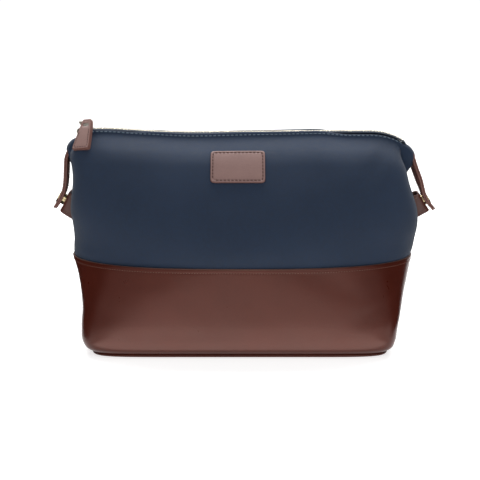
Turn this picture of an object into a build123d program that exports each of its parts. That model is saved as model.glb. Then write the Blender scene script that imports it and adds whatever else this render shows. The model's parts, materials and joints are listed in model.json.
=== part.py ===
from build123d import *

import math
import os

# A shaving kit bag: a leather base, a fabric top that tapers to a zip along its ridge,
# and at each end a folded wing whose strap snaps to a leather loop on the bag's side.
# Millimetres. +Z is up, X runs along the zip, the front is at -Y, and the origin is
# the middle of the underside.

# The bag's outside, as sections of (height, half length, half depth, corner radius)
SLOPE = 42 / 53  # how far the top's front and back lean in for each millimetre of height
RIDGE_Z = 168.0
SHOULDER_Z = 150.0
RIDGE_DEPTH = 8.0
FOOT = (0.0, 124.5, 59.0, 30.0)
SEAM = (70.0, 134.0, 64.0, 58.0)
BULGE = (115.0, 134.0, 50.0, 44.0)
SHOULDER = (SHOULDER_Z, 130.0, RIDGE_DEPTH + (RIDGE_Z - SHOULDER_Z) * SLOPE, 16.0)
RIDGE = (RIDGE_Z, 132.0, RIDGE_DEPTH, 4.0)
SEAM_Z = SEAM[0]
FAR = 400.0  # past the bag in every direction

# Sheets
LEATHER = 2.0
FABRIC = 1.4
LINING = 0.8
BOARD = 2.0
WELT_HEIGHT = 2.4
WELT_PROUD = 1.0
WELT_WIDTH = 3.5

# The back lip: the part of the back that swings open between its two fixed ends
LIP_HALF = 88.0
LIP_GAP = 0.3

# Zip
ZIP_Z = 167.2  # the middle of the teeth
TAPE_HALF = 0.4
TEETH_HALF = 0.9
TOOTH_PITCH = 2.4
TOOTH_WIDTH = 1.0
HEAD_Y = 0.35  # the heads of the two rows stop this far from the middle
ROOT_Y = 1.7
RAIL_Y = 3.4
TEETH_START = -114.4
TEETH_END = 125.0
RAIL_END = 0.4  # bare rail before the first tooth
STOP_HALF = 1.4
STOP_LONG = 0.9
STOP_IN = 1.2  # from the middle to a top stop

# Slider, link and puller
SLIDER_X = -121.5
SLIDER_HALF = 6.7
SLIDER_WIDE = 4.4
PLATE = 1.1
PLATE_GAP = 0.3  # between the teeth and a plate
FLANGE = 0.7
BRIDGE_LONG = 3.5
BRIDGE_HALF = 0.25
BAIL_RISE = 4.6  # the bail's bar above the middle of the teeth
BAIL_HALF = 4.6
BAIL_LEG = 0.9  # half, across the zip
SLIDER_CORNER = 2.0
WIRE = 0.7  # radius of the bail's bar and of the link's bar
PIN_FIT = 0.1
LINK_LONG = 8.0
LINK_LEAN = 65.0  # degrees forward of upright
LINK_HALF = 5.2
LINK_LEG = 1.0
LINK_THICK = 0.6  # half
LINK_FRAME = 3.2  # from the bail's bar to the lower bar of the link's frame
LINK_LOWER_BAR = 1.2
EYE_HALF = 0.8
EYE_WALL = 1.0
PULLER_LONG = 26.0
PULLER_TOP = 3.5
PULLER_FOOT = 6.7
PULLER_SKEW = -4.0
PULLER_LAYER = 1.5
PULLER_LEAN = math.degrees(math.atan(SLOPE))  # it lies along the front's slope
WINDOW = (4.8, 2.4)
WINDOW_DROP = 4.2

# Label patch
PATCH = (41.6, 28.6, 1.4)
PATCH_CENTRE = (-3.2, 144.1)

# Ends: wing, strap, loop and snap, drawn for the right end in X and Z
WING_HALF = 6.5
WING_OUTLINE = [
    (132.0, 163.0),
    (132.8, 159.8),
    (133.8, 155.5),
    (134.8, 150.5),
    (135.0, 144.5),
    (134.4, 139.0),
    (132.9, 135.4),
    (132.3, 136.0),
    (130.9, 150.0),
]
STRAP_HALF = 8.5
STRAP_LAYER = 1.4
STRAP_TOP = (136.8, 147.5)
STRAP_KINK = (139.8, 120.0)
STRAP_TILT = 31.0  # degrees that the strap's end leans out
STRAP_END = 16.0
SNAP_DOWN = 6.5  # the snap's place along the strap's end
LOOP_OFF = 4.0  # the loop's outer face, inward from the middle of the strap
LOOP_WALL = 1.8
LOOP_HALF = 7.5
LOOP_LEG_Y = (7.6, 9.2)
LOOP_FOOT_Z = (102.5, 123.0)
LOOP_ROOT = 1.5  # how far the legs would reach into the bag's side, before they are cut to it
CAP_RADIUS = 5.0
CAP_HIGH = 1.1
SHANK_RADIUS = 1.2
SOCKET_RADIUS = 4.4
SOCKET_HIGH = 2.2
CAVITY = 2.9
CAVITY_DEEP = 2.0
STUD_BASE = (4.2, 0.3)
STUD_POST = (1.5, 0.8)
STUD_HEAD = (2.0, 1.0)


def core(sections, inset):
    """The solid through those sections, drawn in by inset all round."""
    faces = Sketch()
    for z, half_x, half_y, radius in sections:
        outline = RectangleRounded(2 * (half_x - inset), 2 * (half_y - inset), radius - inset)
        faces += Pos(0, 0, z) * outline
    return loft(faces, ruled=True)


def block(x, y, z):
    """The box between two values on each axis."""
    size = [high - low for low, high in (x, y, z)]
    middle = [(high + low) / 2 for low, high in (x, y, z)]
    return Pos(*middle) * Box(*size)


def rod(radius, x):
    """A round bar along X, on the X axis, between two values of X."""
    return Pos(x[0], 0, 0) * extrude(Plane.YZ * Circle(radius), amount=x[1] - x[0])


def standing(points, half_y):
    """A plate with that outline in X and Z, as thick as half_y each side of Y = 0."""
    outline = make_face(Polyline(*points, close=True))
    return extrude(Plane.XZ * outline, amount=half_y, both=True)


def base_parts():
    """The leather base with its welt, bottom, stiffener and lining."""
    sections = [FOOT, SEAM]
    above_welt = block((-FAR, FAR), (-FAR, FAR), (WELT_HEIGHT, SEAM_Z))
    outside = core(sections, 0) & above_welt
    inside = core(sections, LEATHER) & above_welt
    lined = core(sections, LEATHER + LINING)
    board_top = WELT_HEIGHT + BOARD
    floor_top = board_top + LINING
    foot_x, foot_y, foot_r = FOOT[1:]
    welt_in = WELT_WIDTH - WELT_PROUD
    welt_outer = RectangleRounded(
        2 * (foot_x + WELT_PROUD), 2 * (foot_y + WELT_PROUD), foot_r + WELT_PROUD
    )
    welt_inner = RectangleRounded(
        2 * (foot_x - welt_in), 2 * (foot_y - welt_in), foot_r - welt_in
    )
    above_board = block((-FAR, FAR), (-FAR, FAR), (board_top, SEAM_Z))
    above_floor = block((-FAR, FAR), (-FAR, FAR), (floor_top, FAR))
    return {
        "base_wrap": outside - core(sections, LEATHER),
        "base_welt": extrude(welt_outer - welt_inner, amount=WELT_HEIGHT),
        "base_panel": extrude(welt_inner, amount=WELT_HEIGHT),
        "base_board": inside & block((-FAR, FAR), (-FAR, FAR), (0, board_top)),
        "base_lining": (inside & above_board) - (lined & above_floor),
    }


def top_parts():
    """The fabric top and its lining: the front, the two fixed ends of the back and its lip."""
    sections = [SEAM, BULGE, SHOULDER, RIDGE]
    outside = core(sections, 0)
    between = core(sections, FABRIC)
    inside = core(sections, FABRIC + LINING)
    layers = {"panel": outside - between, "lining": between - inside}
    fixed = LIP_HALF + LIP_GAP
    places = {
        "front_{}": block((-FAR, FAR), (-FAR, 0), (0, FAR)),
        "back_{}_left": block((-FAR, -fixed), (0, FAR), (0, FAR)),
        "back_{}_right": block((fixed, FAR), (0, FAR), (0, FAR)),
        "back_{}": block((-LIP_HALF, LIP_HALF), (0, FAR), (SEAM_Z + LIP_GAP, FAR)),
    }
    return {
        name.format(layer): shell & place
        for layer, shell in layers.items()
        for name, place in places.items()
    }


def tooth_row(side, x_from, x_to, phase):
    """One row of teeth on its rail, between two values of X; side is -1 in front, 1 behind."""
    points = [(x_from, side * RAIL_Y), (x_from, side * ROOT_Y)]
    first = math.ceil((x_from + RAIL_END - TEETH_START - phase) / TOOTH_PITCH)
    x = TEETH_START + phase + first * TOOTH_PITCH
    while x + TOOTH_WIDTH < x_to:
        points += [
            (x, side * ROOT_Y),
            (x, side * HEAD_Y),
            (x + TOOTH_WIDTH, side * HEAD_Y),
            (x + TOOTH_WIDTH, side * ROOT_Y),
        ]
        x += TOOTH_PITCH
    points += [(x_to, side * ROOT_Y), (x_to, side * RAIL_Y)]
    outline = make_face(Polyline(*points, close=True))
    return Pos(0, 0, ZIP_Z) * extrude(outline, amount=TEETH_HALF, both=True)


def zip_parts():
    """Both tapes and rows of teeth, split where the lip starts, and the stops at their ends."""
    inside = core([SEAM, BULGE, SHOULDER, RIDGE], FABRIC + LINING)
    z = (ZIP_Z - TAPE_HALF, ZIP_Z + TAPE_HALF)
    fixed = LIP_HALF + LIP_GAP
    back = {
        "_left": ((-FAR, -fixed), (TEETH_START, -fixed)),
        "": ((-LIP_HALF, LIP_HALF), (-LIP_HALF, LIP_HALF)),
        "_right": ((fixed, FAR), (fixed, TEETH_END)),
    }
    parts = {
        "zip_tape_front": inside & block((-FAR, FAR), (-FAR, -RAIL_Y), z),
        "zip_teeth_front": tooth_row(-1, TEETH_START, TEETH_END, 0),
    }
    for end, (tape_x, teeth_x) in back.items():
        parts[f"zip_tape_back{end}"] = inside & block(tape_x, (RAIL_Y, FAR), z)
        parts[f"zip_teeth_back{end}"] = tooth_row(1, *teeth_x, TOOTH_PITCH / 2)
    stop_z = (ZIP_Z - STOP_HALF, ZIP_Z + STOP_HALF)
    slider_end = SLIDER_X - SLIDER_HALF - PLATE_GAP
    stop_x = (slider_end - STOP_LONG, slider_end)
    parts["zip_top_stops"] = Compound(
        children=[block(stop_x, y, stop_z) for y in ((-RAIL_Y, -STOP_IN), (STOP_IN, RAIL_Y))]
    )
    stop_x = (TEETH_END + RAIL_END, TEETH_END + TOOTH_PITCH)
    parts["zip_bottom_stop"] = block(stop_x, (-RAIL_Y, RAIL_Y), stop_z)
    return parts


def slider():
    """Two plates joined by the bridge that parts the teeth, with the bail on top."""
    wide = (-SLIDER_WIDE, SLIDER_WIDE)
    long = (-SLIDER_HALF, SLIDER_HALF)
    near = TEETH_HALF + PLATE_GAP
    body = block((-SLIDER_HALF, BRIDGE_LONG - SLIDER_HALF), (-BRIDGE_HALF, BRIDGE_HALF), (-near, near))
    for side in (-1, 1):
        plate_z = sorted((side * near, side * (near + PLATE)))
        plate = block(long, wide, plate_z)
        body += fillet(plate.edges().filter_by(Axis.Z), SLIDER_CORNER)
        flange_z = sorted((side * (TAPE_HALF + PLATE_GAP), side * near))
        flange_x = (SLIDER_CORNER - SLIDER_HALF, SLIDER_HALF - SLIDER_CORNER)
        for y in ((-SLIDER_WIDE, FLANGE - SLIDER_WIDE), (SLIDER_WIDE - FLANGE, SLIDER_WIDE)):
            body += block(flange_x, y, flange_z)
    body += Pos(0, 0, BAIL_RISE) * rod(WIRE, (-BAIL_HALF, BAIL_HALF))
    for x in ((-BAIL_HALF, 2 * WIRE - BAIL_HALF), (BAIL_HALF - 2 * WIRE, BAIL_HALF)):
        body += block(x, (-BAIL_LEG, BAIL_LEG), (near + PLATE / 2, BAIL_RISE + WIRE))
    return Pos(SLIDER_X, 0, ZIP_Z) * body


def pull_link():
    """An eye round the bail's bar, with a frame above it whose top bar carries the puller."""
    thick = (-LINK_THICK, LINK_THICK)
    stem_x = (-EYE_HALF, EYE_HALF)
    eye = rod(WIRE + EYE_WALL, stem_x) + block(stem_x, thick, (0, LINK_FRAME + LINK_THICK))
    link = eye - rod(WIRE + PIN_FIT, (-FAR, FAR))
    link += block((-LINK_HALF, LINK_HALF), thick, (LINK_FRAME, LINK_FRAME + LINK_LOWER_BAR))
    for x in ((-LINK_HALF, LINK_LEG - LINK_HALF), (LINK_HALF - LINK_LEG, LINK_HALF)):
        link += block(x, thick, (LINK_FRAME, LINK_LONG))
    link += Pos(0, 0, LINK_LONG) * rod(WIRE, (-LINK_HALF, LINK_HALF))
    return Pos(SLIDER_X, 0, ZIP_Z + BAIL_RISE) * Rot(LINK_LEAN, 0, 0) * link


def puller_parts():
    """The leather puller: a strip folded over the link's bar, as its front and back layers."""
    outline = make_face(
        Polyline(
            (PULLER_TOP, 0),
            (PULLER_SKEW + PULLER_FOOT, -PULLER_LONG),
            (PULLER_SKEW - PULLER_FOOT, -PULLER_LONG),
            (-PULLER_TOP, 0),
            close=True,
        )
    )
    outline = fillet(outline.vertices().sort_by(Axis.Y)[:2], 2.0)
    fold = WIRE + PIN_FIT + PULLER_LAYER
    body = extrude(Plane.XZ * outline, amount=PULLER_LAYER, both=True)
    body += rod(fold, (-PULLER_TOP, PULLER_TOP))
    body -= rod(WIRE + PIN_FIT, (-FAR, FAR))
    window = Pos(0, -FAR / 2, -WINDOW_DROP) * Box(WINDOW[0], FAR, WINDOW[1])
    lean = math.radians(LINK_LEAN)
    bar_y = -LINK_LONG * math.sin(lean)
    bar_z = ZIP_Z + BAIL_RISE + LINK_LONG * math.cos(lean)
    place = Pos(SLIDER_X, bar_y, bar_z) * Rot(-PULLER_LEAN, 0, 0)
    halves = {"front": ((-FAR, 0), window), "back": ((0, FAR), None)}
    parts = {}
    for name, (y, hole) in halves.items():
        layer = body & block((-FAR, FAR), y, (-FAR, FAR))
        if hole:
            layer -= hole
        parts[f"puller_{name}_leather"] = place * layer
    return parts


def label_patch():
    """A blank leather patch sewn to the front's slope."""
    x, z = PATCH_CENTRE
    y = -(RIDGE_DEPTH + (RIDGE_Z - z) * SLOPE)
    slope = Plane(origin=(x, y, z), x_dir=(1, 0, 0), z_dir=(0, -1, SLOPE))
    return slope * extrude(RectangleRounded(PATCH[0], PATCH[1], 3.0), amount=PATCH[2])


def along(start, degrees, distance):
    """The point at that distance from start, going down and leaning out by those degrees."""
    lean = math.radians(degrees)
    return (start[0] + distance * math.sin(lean), start[1] - distance * math.cos(lean))


def outward(point, degrees, distance):
    """The point moved squarely off a sheet that leans out by those degrees."""
    lean = math.radians(degrees)
    return (point[0] + distance * math.cos(lean), point[1] + distance * math.sin(lean))


def strap_layer(inner, outer):
    """One layer of the right strap, between two distances from its middle."""
    upper = math.degrees(math.atan2(STRAP_KINK[0] - STRAP_TOP[0], STRAP_TOP[1] - STRAP_KINK[1]))
    bend = (upper + STRAP_TILT) / 2
    widen = 1 / math.cos(math.radians((STRAP_TILT - upper) / 2))
    end = along(STRAP_KINK, STRAP_TILT, STRAP_END)
    path = [(STRAP_TOP, upper, 1), (STRAP_KINK, bend, widen), (end, STRAP_TILT, 1)]
    points = [outward(p, lean, inner * scale) for p, lean, scale in path]
    points += [outward(p, lean, outer * scale) for p, lean, scale in reversed(path)]
    return standing(points, STRAP_HALF)


def snap_plane():
    """Square to the strap's end, with its origin in the middle of the strap at the snap."""
    x, z = along(STRAP_KINK, STRAP_TILT, SNAP_DOWN)
    lean = math.radians(STRAP_TILT)
    return Plane(origin=(x, 0, z), x_dir=(0, 1, 0), z_dir=(math.cos(lean), 0, math.sin(lean)))


def disc(radius, low, high):
    """A round disc about the snap's axis, between two heights from the strap's middle."""
    return snap_plane() * Pos(0, 0, low) * extrude(Circle(radius), amount=high - low)


def end_parts():
    """What the right end carries: wing, strap, snap and side loop."""
    outside = core([SEAM, BULGE, SHOULDER, RIDGE], 0)
    hole = disc(SHANK_RADIUS, -STRAP_LAYER, STRAP_LAYER)
    cap_top = STRAP_LAYER + CAP_HIGH
    cap = disc(CAP_RADIUS, STRAP_LAYER, cap_top) + hole
    socket_low = -STRAP_LAYER - SOCKET_HIGH
    base_top = -LOOP_OFF + STUD_BASE[1]
    post_top = base_top + STUD_POST[1]
    stud = disc(STUD_BASE[0], -LOOP_OFF, base_top)
    stud += disc(STUD_POST[0], base_top, post_top)
    stud += disc(STUD_HEAD[0], post_top, post_top + STUD_HEAD[1])
    return {
        "wing": standing(WING_OUTLINE, WING_HALF),
        "strap_outer": strap_layer(0, STRAP_LAYER) - hole,
        "strap_inner": strap_layer(-STRAP_LAYER, 0) - hole,
        "snap_cap": cap,
        "snap_socket": disc(SOCKET_RADIUS, socket_low, -STRAP_LAYER)
        - disc(CAVITY, socket_low, socket_low + CAVITY_DEEP),
        "snap_stud": stud,
        "side_loop": side_loop() - outside,
    }


def side_loop():
    """A leather strip that stands off the bag's side: two legs and the wall that faces the strap."""
    middle = along(STRAP_KINK, STRAP_TILT, SNAP_DOWN)
    face = outward(middle, STRAP_TILT, -LOOP_OFF)
    top = along(face, STRAP_TILT, -LOOP_HALF)
    foot = along(face, STRAP_TILT, LOOP_HALF)
    inner_top = outward(top, STRAP_TILT, -LOOP_WALL)
    inner_foot = outward(foot, STRAP_TILT, -LOOP_WALL)
    loop = standing([top, foot, inner_foot, inner_top], LOOP_LEG_Y[1])
    side_x = SEAM[1] - LOOP_ROOT
    leg_outline = [(side_x, LOOP_FOOT_Z[1]), top, foot, (side_x, LOOP_FOOT_Z[0])]
    leg = standing(leg_outline, (LOOP_LEG_Y[1] - LOOP_LEG_Y[0]) / 2)
    leg_y = (LOOP_LEG_Y[0] + LOOP_LEG_Y[1]) / 2
    return loop + Pos(0, -leg_y, 0) * leg + Pos(0, leg_y, 0) * leg


def main():
    parts = base_parts() | top_parts() | zip_parts() | puller_parts()
    parts["zip_slider"] = slider()
    parts["pull_link"] = pull_link()
    parts["label_patch"] = label_patch()
    for name, part in end_parts().items():
        parts[f"{name}_right"] = part
        parts[f"{name}_left"] = mirror(part, about=Plane.YZ)
    os.makedirs("parts", exist_ok=True)
    for name, part in parts.items():
        export_step(part, f"parts/{name}.step")


main()
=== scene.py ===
"""The looks of a shaving kit bag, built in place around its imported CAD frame."""

import json
import math

import bmesh
import bpy
import numpy as np
from mathutils import Matrix, Vector


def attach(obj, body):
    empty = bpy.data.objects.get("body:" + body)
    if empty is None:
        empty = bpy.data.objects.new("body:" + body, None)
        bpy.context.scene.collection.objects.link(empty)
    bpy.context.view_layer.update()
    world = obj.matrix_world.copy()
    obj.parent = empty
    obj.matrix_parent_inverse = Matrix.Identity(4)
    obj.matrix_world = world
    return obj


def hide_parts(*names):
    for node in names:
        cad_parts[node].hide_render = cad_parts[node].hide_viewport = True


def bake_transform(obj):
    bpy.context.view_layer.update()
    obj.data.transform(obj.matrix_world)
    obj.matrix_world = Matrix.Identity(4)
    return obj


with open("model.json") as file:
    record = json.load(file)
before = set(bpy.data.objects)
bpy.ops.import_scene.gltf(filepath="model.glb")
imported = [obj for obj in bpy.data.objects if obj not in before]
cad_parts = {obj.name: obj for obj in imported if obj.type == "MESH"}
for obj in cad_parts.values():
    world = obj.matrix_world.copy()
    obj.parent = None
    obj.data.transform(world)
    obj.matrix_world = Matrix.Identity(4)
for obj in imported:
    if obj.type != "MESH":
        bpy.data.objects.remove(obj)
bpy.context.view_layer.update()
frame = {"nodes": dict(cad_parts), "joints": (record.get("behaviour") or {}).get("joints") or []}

# Lengths below are in millimetres and become metres where a mesh is made.
MM = 0.001
ENDS = {"left": -1, "right": 1}

# The bag's outside as (height, half length left, half length right, half depth, squareness)
BASE = (
    (2.0, 116.0, 112.6, 58.0, 9.0),
    (5.0, 120.2, 116.4, 61.2, 10.0),
    (10.0, 123.2, 118.6, 63.0, 10.0),
    (20.0, 124.8, 120.8, 64.0, 9.0),
    (35.0, 124.8, 125.2, 64.4, 5.6),
    (45.0, 126.4, 128.0, 64.4, 4.2),
    (56.0, 129.6, 131.2, 64.4, 3.1),
    (70.0, 135.0, 135.0, 64.2, 2.25),
)
TOP = (
    (68.0, 133.0, 133.2, 62.2, 2.25),
    (74.0, 133.8, 135.2, 63.0, 2.25),
    (84.0, 133.4, 137.2, 62.6, 2.35),
    (95.0, 133.8, 139.0, 60.4, 2.6),
    (106.0, 134.8, 138.2, 56.6, 3.0),
    (118.0, 134.4, 135.2, 51.2, 3.6),
    (130.0, 133.4, 131.2, 45.0, 4.2),
    (140.0, 133.2, 128.6, 38.6, 4.6),
    (150.0, 133.6, 125.6, 31.0, 4.8),
    (155.0, 133.0, 124.6, 25.4, 4.9),
    (160.0, 130.6, 124.8, 17.4, 5.0),
    (163.0, 128.8, 126.0, 12.6, 5.2),
    (165.5, 128.0, 127.4, 9.6, 5.6),
    (167.6, 128.0, 128.6, 8.3, 6.0),
)
SEAM_Z = 70.0
RIDGE_Z = 167.6
LEATHER = 2.0
FABRIC = 1.2
LINING = 0.6
HEM = ((0.4, 0.7), (1.3, 1.2), (2.5, 1.2), (3.4, 0.6), (3.7, -0.3))  # (inward, up) over the ridge
COLUMN = 2.0  # the grids' spacing
CORNERS = ((1, 1), (-1, 1), (-1, -1), (1, -1))

HEM_STITCH = 0.8  # from the ridge down to the topstitching

# Zip
ZIP_Z = 167.2
TOOTH_PITCH = 2.4
TEETH = (-114.0, 124.6)
DROP_START = 98.0
DROP_SPAN = 28.4
DROP = 7.6
DROP_POWER = 2.4

SEAM_STITCH = 2.7  # from the leather's top edge down to its stitches

# Stitches as (pitch, length, radius)
STITCH_TOP = (3.4, 2.3, 0.34)
STITCH_BASE = (2.1, 1.25, 0.2)
STITCH_PATCH = (2.9, 2.0, 0.32)
STITCH_FINE = (2.2, 1.5, 0.2)


# ---- numbers


def rise(value, low, high):
    """0 up to low, 1 from high, smooth between."""
    t = np.clip((value - low) / (high - low), 0, 1)
    return t * t * (3 - 2 * t)


def hump(value, middle, width):
    """1 at the middle, falling smoothly to 0 on both sides."""
    return np.exp(-(((value - middle) / width) ** 2))


def smooth(table, at, column):
    """One column of the table along a smooth curve through its rows."""
    knots = np.array([row[0] for row in table])
    values = np.array([row[column] for row in table])
    slopes = np.gradient(values, knots)
    at = np.clip(at, knots[0], knots[-1])
    i = np.clip(np.searchsorted(knots, at) - 1, 0, len(knots) - 2)
    step = knots[i + 1] - knots[i]
    t = (at - knots[i]) / step
    value = (1 + 2 * t) * (1 - t) ** 2 * values[i] + t * (1 - t) ** 2 * step * slopes[i]
    return value + t * t * (3 - 2 * t) * values[i + 1] - t * t * (1 - t) * step * slopes[i + 1]


def waves(x, y, z, size, seed):
    """Soft irregular waves of about that size, between -1 and 1."""
    random = np.random.RandomState(seed)
    total = 0.0
    for _ in range(7):
        way = random.normal(size=3)
        way *= 2 * math.pi / (size * random.uniform(0.7, 1.6) * np.linalg.norm(way))
        total = total + np.sin(way[0] * x + way[1] * y + way[2] * z + random.uniform(0, 2 * math.pi))
    return total / 4


def unit(vectors):
    """The vectors scaled to a length of 1."""
    return vectors / np.maximum(np.linalg.norm(vectors, axis=-1, keepdims=True), 1e-9)


def along(points):
    """The distance along a line of points, from its start to each of them."""
    steps = np.linalg.norm(np.diff(points, axis=0), axis=1)
    return np.concatenate([[0], np.cumsum(steps)])


def walk(points, pitch, margin=0.0):
    """Places at that pitch along a line of points, with the way along it at each place."""
    distance = along(points)
    count = int((distance[-1] - 2 * margin) / pitch)
    at = margin + (distance[-1] - 2 * margin - count * pitch) / 2 + pitch * (np.arange(count) + 0.5)

    def place(d):
        return np.stack([np.interp(d, distance, points[:, k]) for k in range(3)], axis=1)

    return place(at), unit(place(at + 0.2) - place(at - 0.2))


# ---- the bag's surface


def ridge_sag(x):
    """How far the ridge sags between its ends."""
    return 2.3 * hump(x, -42, 36) + 1.3 * hump(x, 15, 45) + 0.5 * rise(x, 50, 100)


def low_lip(x):
    """1 near the ends, where the lips lie low and show the teeth, and 0 where they hide them."""
    return rise(x, 55, 82) + rise(-x, 66, 88)


def zip_drop(x):
    """How far the zip dips: in curves at its two ends, and with the ridge."""
    past = np.maximum(x - DROP_START, 0) / DROP_SPAN
    right = DROP * np.where(past < 1, past**DROP_POWER, 1 + DROP_POWER * (past - 1))
    left = 3.0 * rise(-x, 126, 134)
    return right + left + 0.45 * ridge_sag(x) - 1.7 * hump(x, -108, 26)


def base_relief(x, y, z):
    """Outward offset of the leather: slow waves, pressed-in corners and the stitched groove."""
    soft = 0.45 * waves(x, y, z, 95, 3) * rise(z, 4, 20)
    soft += 0.10 * waves(x, y, z, 30, 8) * rise(z, 6, 20)
    front = (y < 0) * 1.0
    dents = -0.9 * hump(x, -112, 16) * hump(z - 0.5 * (x + 112), 30, 11) * front
    dents -= 0.8 * hump(x, 104, 22) * hump(z - 0.35 * (x - 104), 36, 8) * front
    dents += 0.5 * hump(x, 112, 12) * hump(z, 14, 7) * front
    dents += 0.5 * hump(x, -113, 12) * hump(z, 12, 7) * front
    groove = -0.12 * hump(z, SEAM_Z - SEAM_STITCH, 0.5)
    edge = 0.1 * hump(z, SEAM_Z - 1.3, 0.9)
    return soft + dents + groove + edge


def top_relief(x, y, z):
    """Outward offset of the fabric: slow waves, finer ones near the ends, and the stitched hem."""
    still = rise(z, 70, 84) * (1 - rise(z, 158, 166))
    soft = 0.75 * waves(x, y, z, 110, 21) * still
    ends = rise(abs(x), 90, 125)
    soft += (0.12 + 0.35 * ends) * waves(x, y, z, 34, 5) * still
    fold = -1.3 * hump(x - 0.42 * (z - 150), 106, 7) * rise(z, 120, 146) * (1 - rise(z, 154, 164))
    fold -= 1.0 * hump(-x - 0.3 * (z - 150), 112, 8) * rise(z, 112, 140) * (1 - rise(z, 152, 164))
    stitched = -0.15 * hump(z, RIDGE_Z - HEM_STITCH, 0.4)
    return soft + fold * (y < 0) + stitched


def skin(table, rows, columns, relief):
    """Points of the bag's outside: rows of (height, inward, up), columns round the outline."""
    z, inset, lift = np.array(rows, float).T[:, :, None]
    p, q = np.array(columns, float).T[:, None, :]
    left, right, depth, square = (smooth(table, z, k) for k in (1, 2, 3, 4))
    scale = (abs(p) ** square + abs(q) ** square) ** (-1 / square)
    half = np.where(p < 0, left, right)
    across, deep = p * scale, q * scale
    x = (half - inset) * across
    y = (depth - inset) * deep
    out_x = np.sign(across) * abs(across) ** (square - 1) / half
    out_y = np.sign(deep) * abs(deep) ** (square - 1) / depth
    out = relief(x, y, z) / np.hypot(out_x, out_y)
    x = x + out * out_x
    y = y + out * out_y
    if table is TOP:
        pulled_in = rise(z, 106, 138) * (1 - rise(z, 155, 164)) * (abs(p) > 0.999)
        x = x - np.sign(p) * 6.0 * pulled_in * np.maximum(1 - (q / 0.5) ** 2, 0) ** 2
        dip = zip_drop(x) + 0.55 * ridge_sag(x) + 0.8 * low_lip(x) + 0.9 * rise(x, 60, 85)
        lift = lift * (1 - 0.9 * low_lip(x)) - dip * rise(z, 138, RIDGE_Z)
    return np.stack([x, y + 0 * x, z + lift + 0 * x], axis=-1)


def outline(*corners):
    """Points along the sides of a square from corner to corner, about one for each COLUMN."""
    length = {0: 130.0, 1: 62.0}
    runs = []
    for start, end in zip(corners, corners[1:]):
        axis = 0 if start[1] == end[1] else 1
        count = round(abs(end[axis] - start[axis]) * length[axis] / COLUMN)
        runs.append(np.linspace(start, end, count, endpoint=False))
    return np.concatenate(runs + [np.array([corners[-1]], float)])


FRONT_SIDE = outline((-1, 0), (-1, -1), (1, -1), (1, 0))
BACK_SIDE = {
    "left": outline((0, 1), (-1, 1), (-1, 0)),
    "right": outline((1, 0), (1, 1), (0, 1)),
}
ALL_ROUND = outline((-1, 0), (-1, -1), (1, -1), (1, 1), (-1, 1), (-1, 0))[:-1]
SQUARE = outline((-1, -1), (1, -1), (1, 1), (-1, 1), (-1, -1))[:-1]
TOP_ROWS = [(z, 0, 0) for z in np.linspace(68, RIDGE_Z - 4.6, 46)]
TOP_ROWS += [(RIDGE_Z - d, 0, 0) for d in (3.6, 2.6, 1.8, 1.3, 1.05, HEM_STITCH, 0.55, 0.3, 0)]
TOP_ROWS += [(RIDGE_Z, inward, up) for inward, up in HEM]


def rounded_square(step, power):
    """Every so many of the square's points, with its corners rounded; more power is squarer."""
    corners = SQUARE[::step]
    return corners * (abs(corners) ** power).sum(axis=1, keepdims=True) ** (-1 / power)


def on_front(x, z):
    """The point of the fabric's front at that x and nominal height."""
    p = np.linspace(-1, 1, 301)
    columns = np.stack([p, -np.ones_like(p)], axis=1)
    line = skin(TOP, [(z, 0, 0)], columns, top_relief)[0]
    return np.array([x, np.interp(x, line[:, 0], line[:, 1]), np.interp(x, line[:, 0], line[:, 2])])


# ---- meshes


def in_scene(name, data):
    """A new object with that data, in the scene."""
    made = bpy.data.objects.new(name, data)
    bpy.context.scene.collection.objects.link(made)
    return made


def make_object(name, points, faces, looks, marks=None, uv=None, smooth_faces=None):
    """A mesh object from points in millimetres, its first faces smooth; marks gives each face's look."""
    mesh = bpy.data.meshes.new(name)
    mesh.from_pydata((np.asarray(points) * MM).tolist(), [], [list(map(int, f)) for f in faces])
    for look in looks:
        mesh.materials.append(LOOKS[look])
    if marks is not None:
        mesh.polygons.foreach_set("material_index", np.asarray(marks, np.int32))
    if uv is not None:
        layer = mesh.uv_layers.new(name="cloth")
        index = np.empty(len(mesh.loops), np.int32)
        mesh.loops.foreach_get("vertex_index", index)
        layer.data.foreach_set("uv", (np.asarray(uv, np.float32)[index] * MM).ravel())
    shape = bmesh.new()
    shape.from_mesh(mesh)
    bmesh.ops.recalc_face_normals(shape, faces=shape.faces)
    shape.to_mesh(mesh)
    shape.free()
    last_smooth = len(faces) if smooth_faces is None else smooth_faces
    mesh.polygons.foreach_set("use_smooth", np.arange(len(faces)) < last_smooth)
    borders = {key for polygon in mesh.polygons[last_smooth:] for key in polygon.edge_keys}
    mesh.edges.foreach_set("use_edge_sharp", [edge.key in borders for edge in mesh.edges])
    return in_scene(name, mesh)


def grid_normals(grid, closed):
    """The outward direction at each point of a grid of the bag's surface."""
    if closed:
        sideways = np.roll(grid, -1, axis=1) - np.roll(grid, 1, axis=1)
    else:
        sideways = np.gradient(grid, axis=1)
    return unit(np.cross(sideways, np.gradient(grid, axis=0)))


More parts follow.
